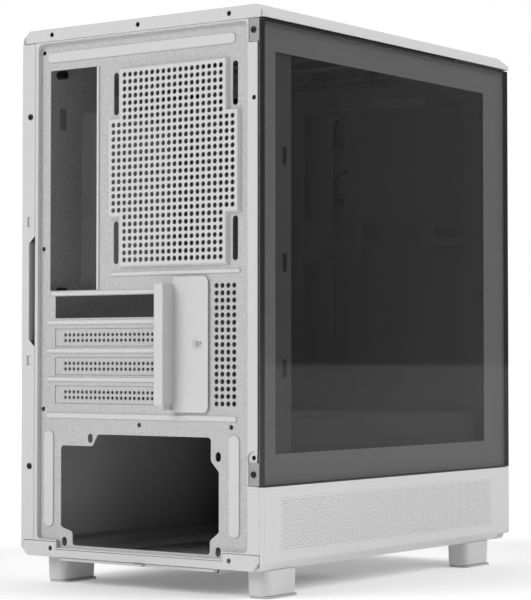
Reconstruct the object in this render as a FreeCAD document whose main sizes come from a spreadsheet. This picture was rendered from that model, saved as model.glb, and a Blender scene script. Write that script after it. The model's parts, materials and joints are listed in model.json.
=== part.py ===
import FreeCAD, Part
import math
import os
import re

# Desktop computer tower: an empty micro-ATX case with a tinted glass side.
# Millimetres, +Z up. The rear face (ports and slots) looks along -Y and the glass side along +X.
# The origin is on the floor, under the middle of the whole case.
#
# Case coordinates: u runs from the right side panel (u = 0) to the outside of the glass, v from the
# rear frame plane (v = 0) to the front, and w up from the underside of the case, above the feet.

V = FreeCAD.Vector

SIZES = [
    # overall
    ("case_width", 218.0, "right side panel to the outside of the glass"),
    ("case_depth", 329.0, "rear frame plane to the front face"),
    ("shell_height", 379.2, "underside of the case to the top, without feet"),
    ("foot_height", 19.0, "floor to the underside, rubber pad included"),
    ("sheet", 0.8, "steel sheet"),
    ("gap", 0.4, "clearance round pieces that come off"),
    # cover and base
    ("cover_height", 9.3, "top cover, edge to top"),
    ("cover_chamfer_w", 6.2, "top chamfer, height"),
    ("cover_chamfer_u", 6.5, "top chamfer, width"),
    ("base_height", 10.8, "rear flange of the bottom pan"),
    ("base_chamfer", 6.0, "bottom chamfers"),
    ("seam_in", 2.0, "fold line of the cover, in from its side"),
    ("seam_wide", 0.4, "width of the fold line"),
    # rear frame
    ("side_flange", 12.3, "rear flange of the right side panel"),
    ("recess_left", 15.5, "sunk rear plate, left edge"),
    ("glass_column", 10.1, "rear column on the glass side"),
    ("recess_depth", 3.3, "depth of the sunk rear plate"),
    ("recess_margin", 1.2, "frame left above and below the sunk plate"),
    ("recess_corner", 5.0, "corner radius of the sunk plate"),
    ("emboss", 1.1, "height of pressed beads and ribs"),
    ("screw_hole", 1.7, "radius of the M3 clearance holes"),
    # port opening and expansion slots
    ("io_left", 24.35, "port opening, left edge"),
    ("io_wide", 44.45, "port opening, width"),
    ("io_tall", 158.9, "port opening, height"),
    ("io_drop", 30.2, "top of the case to the top of the port opening"),
    ("slot_left", 29.55, "expansion slots, left edge"),
    ("slot_long", 107.4, "expansion slots, length"),
    ("slot_pitch", 20.32, "expansion slot pitch"),
    ("slot_tall", 12.8, "expansion slot opening"),
    ("slot_first_drop", 13.4, "port opening to the centre of the first slot"),
    ("slot_plate", 18.4, "slot cover, width of its plate"),
    ("cover_hole", 1.25, "radius of the holes in a slot cover"),
    ("cover_pitch", 4.0, "pitch of the holes in a slot cover"),
    # slot bracket
    ("lip_reach", 10.7, "how far the slot bracket stands out of the frame plane"),
    ("bracket_wide", 30.4, "flat part of the slot bracket"),
    ("bracket_tall", 93.0, "height of the slot bracket"),
    ("bracket_lip", 7.8, "lip of the slot bracket"),
    # rear fan grille and side vent
    ("fan_from_glass", 79.13, "rear fan centre to the outside of the glass"),
    ("fan_drop", 103.8, "rear fan centre to the top"),
    ("fan_holes", 105.0, "hole pitch of a 120 mm fan"),
    ("fan_slot_long", 30.3, "rear fan slot, end to end"),
    ("fan_slot_wide", 4.6, "rear fan slot, width"),
    ("vent_pitch", 5.0, "pitch of the vent holes"),
    ("vent_hole", 1.8, "radius of the vent holes"),
    ("grille_margin", 3.6, "vent hole centre to the edge of the raised grille"),
    ("vent_from_glass", 35.1, "middle of the side vent to the outside of the glass"),
    ("vent_below", 4.74, "lowest slot centre down to the lowest row of the side vent"),
    # power supply
    ("psu_left", 38.94, "lower left power supply hole"),
    ("psu_low", 11.15, "lower power supply holes"),
    ("psu_wide", 138.0, "power supply hole pattern, width"),
    ("psu_right_rise", 64.0, "power supply hole pattern, right side"),
    ("psu_left_in", 24.0, "upper left power supply hole, inward"),
    ("psu_left_rise", 74.0, "upper left power supply hole, upward"),
    ("psu_slot_long", 6.6, "power supply hole, end to end"),
    ("psu_slot_wide", 4.6, "power supply hole, width"),
    ("shroud_top", 100.0, "top of the power supply shroud"),
    ("psu_depth", 165.0, "space for the power supply"),
    # glass side
    ("glass_thick", 4.0, "glass"),
    ("glass_bottom", 56.5, "lower edge of the glass"),
    ("glass_setback", 2.4, "front edge of the glass to the front face"),
    ("border_side", 18.0, "printed border, rear"),
    ("border_front", 31.8, "printed border, front"),
    ("border_bottom", 21.0, "printed border, bottom"),
    ("border_top", 20.1, "printed border, top"),
    ("tab_tall", 15.6, "screw tab of the glass frame"),
    ("lower_setback", 1.6, "front edge of the lower side panel to the front face"),
    ("mesh_rear", 19.5, "perforated field of the lower side panel, rear edge"),
    ("mesh_front_in", 31.0, "perforated field, front edge to the front face"),
    ("mesh_low", 12.3, "perforated field, lower edge"),
    ("mesh_high", 48.0, "perforated field, upper edge"),
    # inside
    ("tray_u", 21.2, "motherboard tray, outer face"),
    ("standoff_tall", 6.35, "motherboard standoff"),
    ("standoff_radius", 3.0, "motherboard standoff"),
    ("standoff_thread", 1.25, "thread bore of a standoff"),
    ("front_space", 18.0, "rear face of the front frame wall to the front face"),
    ("front_fan_u", 120.8, "front fan centres"),
    ("front_fan_drop", 84.3, "top of the case to the upper front fan centre"),
    ("front_fan_pitch", 120.0, "front fan to front fan"),
    ("front_slot_long", 29.0, "front fan slot, end to end"),
    ("front_slot_wide", 8.4, "front fan slot, width"),
    ("ceiling_drop", 13.2, "top of the case to the ceiling plate"),
    # feet
    ("foot_left", 24.2, "middle of the feet by the right side panel"),
    ("foot_from_glass", 10.2, "middle of the feet on the glass side, from the inside of the glass"),
    ("foot_rear", 28.0, "middle of the rear feet"),
    ("foot_front_in", 42.3, "middle of the front feet to the front face"),
    ("foot_wide", 18.6, "foot at its top, across"),
    ("foot_long", 37.0, "foot at its top, along"),
    ("foot_taper", 0.5, "taper of a foot on each side"),
    ("foot_pad", 1.5, "rubber pad"),
    ("foot_round", 6.0, "corner radius of a foot"),
    # controls
    ("power_radius", 6.0, "power button"),
    ("reset_radius", 3.0, "reset button"),
    ("button_rise", 0.8, "how far the buttons stand out"),
    ("button_travel", 1.6, "button travel"),
    ("panel_u", 26.0, "power button, from the right side"),
    ("panel_v", 302.0, "front port line, from the rear"),
]

doc = FreeCAD.newDocument("ComputerTower")
sheet = doc.addObject("Spreadsheet::Sheet", "Dims")
for row, (alias, size, meaning) in enumerate(SIZES, start=1):
    sheet.set("A%d" % row, alias)
    sheet.set("B%d" % row, str(size))
    sheet.setAlias("B%d" % row, alias)
    sheet.set("C%d" % row, meaning)
doc.recompute()


class Sizes:
    """The sheet's numbers, for shapes that are computed point by point."""

    def __getattr__(self, alias):
        return float(sheet.get(alias))


D = Sizes()

# Places that follow the overall sizes, written like aliases in the expressions below
DERIVED = {
    "front_wall": "(case_depth - front_space)",
    "glass_length": "(case_depth - glass_setback)",
    "lower_panel_length": "(case_depth - lower_setback)",
    "foot_front": "(case_depth - foot_front_in)",
    "front_fan_top": "(shell_height - front_fan_drop)",
}

# Lines that several pieces share, in terms of the sheet
FRAME_RIGHT = "(case_width - glass_thick)"
RECESS_RIGHT = "(case_width - glass_thick - glass_column)"
COVER_EDGE = "(shell_height - cover_height)"
RECESS_TOP = "(shell_height - cover_height - recess_margin)"
RECESS_LOW = "(base_height + recess_margin)"
PLATE_BACK = "(recess_depth + sheet)"
IO_TOP = "(shell_height - io_drop)"
IO_LOW = "(shell_height - io_drop - io_tall)"
SLOT_FIRST = "(shell_height - io_drop - io_tall - slot_first_drop)"
SLOT_RIGHT = "(slot_left + slot_long)"
FAN_U = "(case_width - fan_from_glass)"
FAN_W = "(shell_height - fan_drop)"
CEILING = "(shell_height - ceiling_drop)"
TRAY_FACE = "(tray_u + sheet)"
SHROUD_U = "(case_width - glass_thick - 9)"
INNER_LEFT = "(sheet + gap)"
INNER_RIGHT = "(case_width - glass_thick - gap)"
FRONT_BACK = "(front_wall + 2 * sheet + gap)"
NOTCH_LEFT = "(psu_left - 5)"
NOTCH_RIGHT = "(psu_left + psu_wide + 5)"
NOTCH_LOW = "(base_height / 2)"

GLASS_TOP = "(shell_height - cover_height - 1.3)"
TOP_VENT = (("46", "case_width - 46"), ("54", "front_wall - 31"))

SUBPARTS = []
EDGE_OF_BOX = {}
for number, edge in enumerate(Part.makeBox(1, 1, 1).Edges, start=1):
    middle = (edge.Vertexes[0].Point + edge.Vertexes[-1].Point) * 0.5
    EDGE_OF_BOX[(round(middle.x * 2), round(middle.y * 2), round(middle.z * 2))] = number


# ---------------------------------------------------------------- building blocks
def linked(text):
    """An expression on the sheet, from plain alias names and the places derived from them."""
    spelled = re.sub(r"[a-z][a-z_]*", lambda name: DERIVED.get(name.group(0), name.group(0)), str(text))
    return re.sub(r"[a-z][a-z_]*", lambda name: "Dims." + name.group(0), spelled)


def place(thing, u, v, w):
    thing.setExpression("Placement.Base.x", linked("(%s) - case_width / 2" % u))
    thing.setExpression("Placement.Base.y", linked("(%s) + (lip_reach - case_depth) / 2" % v))
    thing.setExpression("Placement.Base.z", linked("(%s) + foot_height" % w))
    return thing


def place_shape(thing):
    """Moves a computed shape from case coordinates into the part's frame."""
    thing.Placement = FreeCAD.Placement(
        V(-D.case_width / 2, (D.lip_reach - D.case_depth) / 2, D.foot_height), FreeCAD.Rotation())
    return thing


def block(u, v, w):
    box = doc.addObject("Part::Box", "Block")
    for side, (low, high) in (("Length", u), ("Width", v), ("Height", w)):
        box.setExpression(side, linked("(%s) - (%s)" % (high, low)))
    return place(box, u[0], v[0], w[0])


def rod(u, v, w, along, radius, length):
    """A cylinder that starts at (u, v, w) and runs in the positive direction of one axis."""
    cylinder = doc.addObject("Part::Cylinder", "Rod")
    cylinder.setExpression("Radius", linked(radius))
    cylinder.setExpression("Height", linked(length))
    turns = {"u": (V(0, 1, 0), 90), "v": (V(1, 0, 0), -90), "w": (V(0, 0, 1), 0)}
    cylinder.Placement.Rotation = FreeCAD.Rotation(*turns[along])
    return place(cylinder, u, v, w)


def fuse(*pieces):
    joined = doc.addObject("Part::MultiFuse", "Joined")
    joined.Shapes = list(pieces)
    return joined


def cut(base, *tools):
    result = doc.addObject("Part::Cut", "Cut")
    result.Base = base
    result.Tool = tools[0] if len(tools) == 1 else fuse(*tools)
    return result


def group(*pieces):
    together = doc.addObject("Part::Compound", "Group")
    together.Links = list(pieces)
    return together


def edges_along(axis):
    """The four edges of a box that run along one axis."""
    return [number for key, number in EDGE_OF_BOX.items() if key["uvw".index(axis)] == 1]


def rounded(u, v, w, axis, radius):
    fillet = doc.addObject("Part::Fillet", "Rounded")
    fillet.Base = block(u, v, w)
    fillet.Edges = [(number, radius, radius) for number in edges_along(axis)]
    return fillet


def chamfered(base, edges):
    """Chamfers box edges; each edge is (key in EDGE_OF_BOX, first size, second size)."""
    chamfer = doc.addObject("Part::Chamfer", "Chamfered")
    chamfer.Base = base
    chamfer.Edges = [(EDGE_OF_BOX[key], first, second) for key, first, second in edges]
    return chamfer


def obround(u, v, w, along, length, width):
    """A slot through a wall that faces the rear, centred on (u, w)."""
    half = "(%s) / 2" % width
    run = "((%s) - (%s)) / 2" % (length, width)
    if along == "u":
        ends = [("(%s) - %s" % (u, run), w), ("(%s) + %s" % (u, run), w)]
        body = block(("(%s) - %s" % (u, run), "(%s) + %s" % (u, run)), v,
                     ("(%s) - %s" % (w, half), "(%s) + %s" % (w, half)))
    else:
        ends = [(u, "(%s) - %s" % (w, run)), (u, "(%s) + %s" % (w, run))]
        body = block(("(%s) - %s" % (u, half), "(%s) + %s" % (u, half)), v,
                     ("(%s) - %s" % (w, run), "(%s) + %s" % (w, run)))
    depth = "(%s) - (%s)" % (v[1], v[0])
    return fuse(body, *[rod(end_u, v[0], end_w, "v", half, depth) for end_u, end_w in ends])


def plate(name, outline, thickness_v, circles=()):
    """A flat sheet that faces the rear, from (u, w) corners, with round holes (u, w, radius)."""
    low, high = thickness_v
    corners = [V(u, low, w) for u, w in outline]
    wires = [Part.makePolygon(corners + corners[:1])]
    wires += [Part.Wire(Part.makeCircle(r, V(u, low, w), V(0, 1, 0))) for u, w, r in circles]
    sheet_metal = doc.addObject("Part::Feature", name)
    sheet_metal.Shape = Part.Face(wires).extrude(V(0, high - low, 0))
    return place_shape(sheet_metal)


def subpart(name, thing):
    thing.Label = name
    SUBPARTS.append(thing)
    return thing


# ---------------------------------------------------------------- rear of the case
def cross(centre_u, centre_w, wide, tall, arm_wide, arm_tall):
    """The plus-shaped outline of a fan field, anticlockwise from the lower left arm."""
    quarter = [(wide, arm_tall), (arm_wide, arm_tall), (arm_wide, tall)]
    points = quarter + [(-a, b) for a, b in reversed(quarter)]
    points += [(-a, -b) for a, b in quarter] + [(a, -b) for a, b in reversed(quarter)]
    return [(centre_u + a, centre_w + b) for a, b in points]


GRILLE_COLUMNS, GRILLE_ROWS = 22, 27
ARM_COLUMNS, ARM_ROWS = 18, 13
VENT_COLUMNS, VENT_ROWS = 4, 17


def grille_outline(inset=0.0):
    margin = D.grille_margin - inset
    half = D.vent_pitch / 2
    return cross(D.case_width - D.fan_from_glass, D.shell_height - D.fan_drop,
                 (GRILLE_COLUMNS - 1) * half + margin, (GRILLE_ROWS - 1) * half + margin,
                 (ARM_COLUMNS - 1) * half + margin, (ARM_ROWS - 1) * half + margin)


def grid(centre_u, centre_w, columns, rows, pitch, radius):
    holes = []
    for column in range(columns):
        for line in range(rows):
            u = centre_u + (column - (columns - 1) / 2) * pitch
            w = centre_w + (line - (rows - 1) / 2) * pitch
            holes.append((u, w, radius))
    return holes


def fan_grille():
    centre_u, centre_w = D.case_width - D.fan_from_glass, D.shell_height - D.fan_drop
    arm_u = (ARM_COLUMNS - 1) / 2 * D.vent_pitch + 0.1
    arm_w = (ARM_ROWS - 1) / 2 * D.vent_pitch + 0.1
    holes = [hole for hole in grid(centre_u, centre_w, GRILLE_COLUMNS, GRILLE_ROWS, D.vent_pitch, D.vent_hole)
             if abs(hole[0] - centre_u) < arm_u or abs(hole[1] - centre_w) < arm_w]
    face = plate("GrilleFace", grille_outline(), (0, D.sheet), holes)
    rim = cut(plate("RimOutside", grille_outline(), (D.sheet, D.recess_depth + D.sheet)),
              plate("RimInside", grille_outline(D.sheet), (D.sheet, D.recess_depth + D.sheet)))
    return fuse(face, rim)


def vent_bottom():
    """Height of the lowest row of holes in the side vent, level with the lowest slot."""
    lowest_slot = D.shell_height - D.io_drop - D.io_tall - D.slot_first_drop - 3 * D.slot_pitch
    return lowest_slot - D.vent_below


def side_vent_grille():
    centre_u = D.case_width - D.vent_from_glass
    centre_w = vent_bottom() + (VENT_ROWS - 1) / 2 * D.vent_pitch
    return plate("VentFace", vent_outline(), (D.recess_depth, D.recess_depth + D.sheet),
                 grid(centre_u, centre_w, VENT_COLUMNS, VENT_ROWS, D.vent_pitch, D.vent_hole))


def vent_outline():
    centre_u = D.case_width - D.vent_from_glass
    half_wide = (VENT_COLUMNS - 1) / 2 * D.vent_pitch + D.grille_margin
    low = vent_bottom() - D.grille_margin
    high = vent_bottom() + (VENT_ROWS - 1) * D.vent_pitch + D.grille_margin
    return [(centre_u - half_wide, low), (centre_u + half_wide, low),
            (centre_u + half_wide, high), (centre_u - half_wide, high)]


def psu_outline():
    """The power supply opening: a rectangle less an ear round each of its four screw holes."""
    left, low = D.psu_left - 3.6, D.psu_low - 2.3
    right, high = D.psu_left + D.psu_wide + 0.6, D.psu_low + D.psu_left_rise + 2.9
    step = high - 8.5
    right_ear = D.psu_low + D.psu_right_rise - 6.0
    return [(left + 11.1, low), (right - 7.6, low), (right - 7.6, low + 9.5), (right, low + 15.3),
            (right, right_ear - 4.3), (right - 6.8, right_ear + 3.0), (right - 6.8, high), (left + 34.6,
                                                                                            high),
            (left + 29.6, step), (left, step), (left, low + 12.8), (left + 11.1, low + 9.6)]


def psu_opening():
    """A cutter for the power supply opening, with its corners rounded."""
    cutter = plate("PsuOpening", psu_outline(), (-3, 8))
    doc.recompute()
    corners = [number for number, edge in enumerate(cutter.Shape.Edges, start=1)
               if abs(edge.Vertexes[0].Point.y - edge.Vertexes[-1].Point.y) > 1]
    opening = doc.addObject("Part::Fillet", "RoundedOpening")
    opening.Base = cutter
    opening.Edges = [(number, 2.6, 2.6) for number in corners]
    return opening


def slot_height(number):
    return "%s - %d * slot_pitch" % (SLOT_FIRST, number)


BRACKET_LOW = slot_height(3) + " - 11.04"
BRACKET_SCREW = (SLOT_RIGHT + " + 23.9", BRACKET_LOW + " + bracket_tall / 2")


def rear_panel():
    sides = ("side_flange + gap", FRAME_RIGHT)
    frame = cut(block(sides, ("0", "sheet"), ("base_height + gap", COVER_EDGE + " - gap / 2")),
                block((FRAME_RIGHT + " - 1.8", FRAME_RIGHT + " + 1"), ("-1", "2"),
                      ("glass_bottom - gap", "shell_height")))
    sunk_box = rounded(("recess_left - sheet", RECESS_RIGHT + " + sheet"), ("0", PLATE_BACK),
                       (RECESS_LOW + " - sheet", RECESS_TOP + " + sheet"), "v", D.recess_corner)
    sunk_foot = block((NOTCH_LEFT + " - sheet", NOTCH_RIGHT + " + sheet"), ("0", PLATE_BACK),
                      (NOTCH_LOW + " + gap", RECESS_LOW))
    pocket = rounded(("recess_left", RECESS_RIGHT), ("-1", "recess_depth"),
                     (RECESS_LOW, RECESS_TOP), "v", D.recess_corner - D.sheet)
    pocket_foot = block((NOTCH_LEFT, NOTCH_RIGHT), ("-1", "recess_depth"),
                        (NOTCH_LOW + " + gap + sheet", RECESS_LOW + " + 1"))
    joggle = cut(block((INNER_LEFT, "side_flange + gap + sheet"), ("sheet + 0.3", "2 * sheet + 0.3"),
                       ("base_height + 2 * gap + sheet", COVER_EDGE + " - 2 * gap - sheet")),
                 block((INNER_LEFT + " - 1", "side_flange - 0.6"), ("0", "4"),
                       (GRIP_LOW + " - 3", GRIP_HIGH + " + 3")))
    joggle_step = block(("side_flange + gap", "side_flange + gap + sheet"), ("sheet", "sheet + 0.3"),
                        ("base_height + 2 * gap + sheet", COVER_EDGE + " - 2 * gap - sheet"))
    inner_flange = block((FRAME_RIGHT + " - 3.4", FRAME_RIGHT + " - 3.4 + sheet"), ("sheet", "40"),
                         ("base_height + 1.2", COVER_EDGE + " - gap / 2"))
    ledge = block((SLOT_RIGHT, SLOT_RIGHT + " + sheet"), ("-7", PLATE_BACK),
                  (slot_height(3) + " - 9.5", slot_height(0) + " + 9.5"))
    body = cut(fuse(frame, sunk_box, sunk_foot), pocket, pocket_foot)
    tab_backs = [block((RECESS_RIGHT + " + sheet / 2", FRAME_RIGHT + " - 2.6"),
                       ("sheet + 0.3", "2 * sheet + 0.3"),
                       (low + " - 1", high + " + 1")) for low, high in TAB_HEIGHTS]
    body = cut(body, *[block((RECESS_RIGHT + " + 1", FRAME_RIGHT), ("-1", "sheet + 0.3"),
                             (low + " - gap", high + " + gap")) for low, high in TAB_HEIGHTS])
    ear = fuse(rod(LOWER_EAR[0], "-1", LOWER_EAR[1], "v", "4.3", "sheet + 1.3"),
               block((LOWER_EAR[0] + " - 4.3", FRAME_RIGHT), ("-1", "sheet + 0.3"),
                     ("glass_bottom + tab_tall", LOWER_EAR[1])))
    ear_back = block((RECESS_RIGHT + " + sheet / 2", FRAME_RIGHT + " - 2.6"),
                     ("sheet + 0.3", "2 * sheet + 0.3"),
                     ("glass_bottom + tab_tall", LOWER_EAR[1] + " + 5"))
    body = fuse(cut(body, ear), joggle, joggle_step, inner_flange, ledge, ear_back, *tab_backs,
                *rear_embossing())
    return cut(body, *rear_openings())


LOWER_EAR = (FRAME_RIGHT + " - 5.4", "glass_bottom + 19")
GRIP_LOW = "(shell_height - 228.9)"
GRIP_HIGH = "(shell_height - 149.4)"
TAB_HEIGHTS = (("glass_bottom + 0.3", "glass_bottom + tab_tall"),
               (GLASS_TOP + " - tab_tall + 1", GLASS_TOP + " + 1"))
HOOK_SLOTS = ("glass_bottom + 78.2", "glass_bottom + 150.1", GLASS_TOP + " - 89.2")


def bead(u, w, radius):
    """A pressed bar with rounded ends on the sunk plate."""
    return rounded(u, ("recess_depth - emboss", "recess_depth"), w, "v", radius)


def rear_embossing():
    bars = [bead(("22.5", RECESS_RIGHT + " - 12"), (COVER_EDGE + " - 15.1", COVER_EDGE + " - 7.8"), 3.4),
            bead(("19.85", "28.75"), ("21.5", "89.8"), 3.8),
            bead((RECESS_RIGHT + " - 17.5", RECESS_RIGHT + " - 8.6"), ("21.5", "89.8"), 3.8),
            bead(("22", RECESS_RIGHT + " - 11"), ("shroud_top - 1", "shroud_top + 2.7"), 1.4),
            bead((FAN_U + " - 57", FAN_U + " + 57"), (FAN_W + " - 76", FAN_W + " - 73.4"), 1.0),
            bead(("io_left + io_wide", "io_left + io_wide + 2.2"), (IO_LOW, IO_TOP), 0.8),
            bead(("io_left + 2", SLOT_RIGHT + " - 14"), (IO_LOW + " - 3.6", IO_LOW + " - 0.6"), 1.2)]
    for number in range(3):
        middle = "(%s) - slot_pitch / 2 + 0.8" % slot_height(number)
        bars.append(bead(("slot_left - 7.5", "slot_left + 100"), (middle + " - 1.5", middle + " + 1.5"), 1.2))
    return bars


def rear_openings():
    through = ("-3", "recess_depth + 4")
    tools = [block(("io_left", "io_left + io_wide"), through, (IO_LOW, IO_TOP))]
    first_low = "%s - slot_tall / 2" % slot_height(0)
    tools.append(block(("slot_left", SLOT_RIGHT), through,
                       (first_low, "%s + slot_tall / 2 + 3" % slot_height(0))))
    for number in (1, 2, 3):
        centre = slot_height(number)
        tools.append(block(("slot_left", SLOT_RIGHT), through,
                           (centre + " - slot_tall / 2", centre + " + slot_tall / 2")))
    tools.append(psu_opening())
    tools.append(plate("GrilleOpening", grille_outline(), (-3, 8)))
    tools.append(plate("VentOpening", vent_outline(), (-3, 8)))
    for side in ("-", "+"):
        for level in ("-", "+"):
            tools.append(obround("%s %s fan_holes / 2" % (FAN_U, side), through,
                                 "%s %s fan_holes / 2" % (FAN_W,
                                                          level), "w", "fan_slot_long", "fan_slot_wide"))
    for u, w in PSU_HOLES:
        tools.append(obround(u, through, w, "w", "psu_slot_long", "psu_slot_wide"))
    for u, w in (("recess_left + 2.8", COVER_EDGE + " - 7.4"), ("recess_left + 2.8", IO_LOW + " + 30.3"),
                 ("recess_left + 2.8", "shroud_top + 5.3"), ("case_width / 2 - 1.3", "shroud_top - 4.7"),
                 (RECESS_RIGHT + " - 15.9", "shroud_top - 4.7"), (FRAME_RIGHT + " - 4.6",
                                                                  COVER_EDGE + " - 53.6"),
                 LOWER_EAR,
                 ("8", PANEL_SCREWS[0]), ("8", PANEL_SCREWS[1]), BRACKET_SCREW):
        tools.append(rod(u, "-3", w, "v", "screw_hole", "recess_depth + 6"))
    for low, high in TAB_HEIGHTS:
        tools.append(rod(FRAME_RIGHT + " - 4.8", "-3", TAB_SCREW % (low, high), "v", "screw_hole", "6"))
    for number in (1, 2, 3):
        tools.append(rod(SLOT_RIGHT + " - 3", "-2", slot_height(number), "u", "screw_hole", "8"))
    for level in HOOK_SLOTS:
        tools.append(block((FRAME_RIGHT + " - 6", FRAME_RIGHT), ("30", "35.4"),
                           (level + " - 6.2", level + " + 6.2")))
    return tools


PSU_HOLES = (("psu_left", "psu_low"), ("psu_left + psu_wide", "psu_low"),
             ("psu_left + psu_wide", "psu_low + psu_right_rise"),
             ("psu_left + psu_left_in", "psu_low + psu_left_rise"))
PANEL_SCREWS = ("glass_bottom + 7.5", COVER_EDGE + " - 53.5")
TAB_SCREW = "((%s) + (%s)) / 2"


def slot_cover(number):
    """Perforated blank: plate behind the slot, raised field in it, and a screw tab bent outwards."""
    centre = slot_height(number)
    back = PLATE_BACK
    carrier = block(("slot_left - 4", SLOT_RIGHT + " - gap"), (back, back + " + sheet"),
                    (centre + " - slot_plate / 2", centre + " + slot_plate / 2"))
    field = block(("slot_left + 0.5", SLOT_RIGHT + " - gap"), ("recess_depth + 0.2", back),
                  (centre + " - slot_tall / 2 + 0.3", centre + " + slot_tall / 2 - 0.3"))
    tab = block((SLOT_RIGHT + " - gap - sheet", SLOT_RIGHT + " - gap"), ("-6.5", back),
                (centre + " - slot_tall / 2 + 0.3", centre + " + slot_tall / 2 - 0.3"))
    holes = []
    for column in range(23):
        for side in ("-", "+"):
            holes.append(rod("slot_left + 9.5 + %d * cover_pitch" % column, "0",
                             "(%s) %s cover_pitch / 2" % (centre, side), "v", "cover_hole", "8"))
    screw_hole = rod(SLOT_RIGHT + " - 3", "-2", centre, "u", "screw_hole", "4")
    return cut(fuse(carrier, field, tab), screw_hole, *holes)


def screw(u, v, w, along, head_radius, head_tall, length, forward=True):
    """Pan screw: its head starts at the given point and its shank runs on past it."""
    step = {"u": (1, 0, 0), "v": (0, 1, 0), "w": (0, 0, 1)}[along]
    sign = 1 if forward else -1
    shank_start = head_tall if forward else -length
    head_start = 0 if forward else -head_tall
    head = rod("(%s) + %g" % (u, step[0] * head_start), "(%s) + %g" % (v, step[1] * head_start),
               "(%s) + %g" % (w, step[2] * head_start), along, head_radius, head_tall)
    reach = length - head_tall
    low = shank_start if forward else sign * length
    shank = rod("(%s) + %g" % (u, step[0] * low), "(%s) + %g" % (v, step[1] * low),
                "(%s) + %g" % (w, step[2] * low), along, "screw_hole - 0.3", reach)
    return fuse(head, shank)


def slot_screws():
    return group(*[screw(SLOT_RIGHT + " - gap - sheet - 2.2", "-2", slot_height(number), "u", 3.1, 2.2, 5.2)
                   for number in (1, 2, 3)])


def slot_bracket():
    """Sheet that hides the slot screws: flat foot, wall folded outwards, lip folded back."""
    low = BRACKET_LOW
    high = BRACKET_LOW + " + bracket_tall"
    fold = SLOT_RIGHT + " + 2"
    outer = "-lip_reach"
    foot_plate = rounded((fold, fold + " + bracket_wide"),
                         ("recess_depth - emboss - sheet", "recess_depth - emboss"),
                         (low, high), "v", 4.5)
    square = block((fold, fold + " + 8"), ("recess_depth - emboss - sheet", "recess_depth - emboss"),
                   (low, high))
    wall = block((fold, fold + " + sheet"), (outer, "recess_depth - emboss"), (low + " + 5", high + " - 5"))
    lip = block((fold + " + sheet - bracket_lip", fold), (outer, outer + " + sheet"),
                (low + " + 5", high + " - 5"))
    hole = rod(BRACKET_SCREW[0], "-3", BRACKET_SCREW[1], "v", "screw_hole", "8")
    sink = rod(BRACKET_SCREW[0], "recess_depth - emboss - sheet - 0.4", BRACKET_SCREW[1], "v", "4.6", "0.8")
    return cut(fuse(foot_plate, square, wall, lip), hole, sink)


def slot_bracket_screw():
    v = "recess_depth - emboss - sheet"
    return screw(BRACKET_SCREW[0], v, BRACKET_SCREW[1], "v", 3.0, 0.4, 5.0)


# ---------------------------------------------------------------- outer covers
REAR_SKIN = ("-1", "0.35")


def top_cover():
    def shell(inset, low, rear):
        box = block((inset, "case_width - " + inset), (rear, "case_depth - " + inset),
                    (low, "shell_height - " + inset))
        across, down = D.cover_chamfer_u, D.cover_chamfer_w
        return chamfered(box, [((0, 1, 2), across, down), ((2, 1, 2), across, down),
                               ((1, 2, 2), across, down)])
    hollow = shell("sheet", COVER_EDGE + " - 1", "sheet")
    (u0, u1), (v0, v1) = TOP_VENT
    ledge = block((u0 + " - 6", u1 + " + 6"), (v0 + " - 6", v1 + " + 6"),
                  ("shell_height - 2.6", "shell_height - sheet"))
    well = block((u0 + " - 4", u1 + " + 4"), (v0 + " - 4", v1 + " + 4"),
                 ("shell_height - 1.6", "shell_height + 1"))
    vent = block((u0, u1), (v0, v1), (COVER_EDGE, "shell_height + 1"))
    holes = [rod(u, "-1", "shell_height - 4.5", "v", "screw_hole", "3")
             for u in ("28.2", "case_width / 2 - 0.7", FRAME_RIGHT + " - 25.7")]
    seam = cut(block(("seam_in", "case_width - seam_in"), REAR_SKIN, (COVER_EDGE + " - 1", "shell_height")),
               block(("seam_in + seam_wide", "case_width - seam_in - seam_wide"), ("-2", "2"),
                     (COVER_EDGE + " - 2", "shell_height + 1")),
               block(("-1", "case_width + 1"), ("-2", "2"), ("shell_height - 3.7", "shell_height + 1")))
    base = cut(shell("0", COVER_EDGE, "0"), hollow, seam)
    return cut(fuse(base, ledge), well, vent, *holes, *control_holes())


CONTROLS = {"power": ("panel_u", "power_radius"), "reset": ("panel_u + 14", "reset_radius")}
BOARD_TOP = COVER_EDGE + " - 4.6"
PORT_SPAN = ("tray_u + sheet + 0.4", "panel_u + 90")
USB_A = ("panel_u + 28", "panel_u + 50")
USB_C = "panel_u + 68"
AUDIO = "panel_u + 82"


def control_holes():
    span = (COVER_EDGE, "shell_height + 1")
    tools = [rod(u, "panel_v", COVER_EDGE, "w", radius + " + 0.25", "cover_height + 1")
             for u, radius in CONTROLS.values()]
    tools += [block((u + " - 6.6", u + " + 6.6"), ("panel_v - 2.9", "panel_v + 2.9"), span) for u in USB_A]
    tools.append(rounded((USB_C + " - 4.7", USB_C + " + 4.7"), ("panel_v - 1.8", "panel_v + 1.8"), span, "w",
                          1.7))
    tools.append(rod(AUDIO, "panel_v", COVER_EDGE, "w", "3.2", "cover_height + 1"))
    tools.append(rod("panel_u + 20.5", "panel_v", COVER_EDGE, "w", "1.1", "cover_height + 1"))
    return tools


def top_filter():
    (u0, u1), (v0, v1) = TOP_VENT
    grow = "4 - gap"
    frame = block((u0 + " - (%s)" % grow, u1 + " + (%s)" % grow),
                  (v0 + " - (%s)" % grow, v1 + " + (%s)" % grow),
                  ("shell_height - 1.6", "shell_height"))
    return cut(frame, block((u0 + " + 3", u1 + " - 3"), (v0 + " + 3", v1 + " - 3"),
                            ("shell_height - 3", "shell_height + 1")))


def top_filter_mesh():
    (u0, u1), (v0, v1) = TOP_VENT
    return block((u0 + " + 3", u1 + " - 3"), (v0 + " + 3", v1 + " - 3"),
                 ("shell_height - 1.2", "shell_height - 0.7"))


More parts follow.
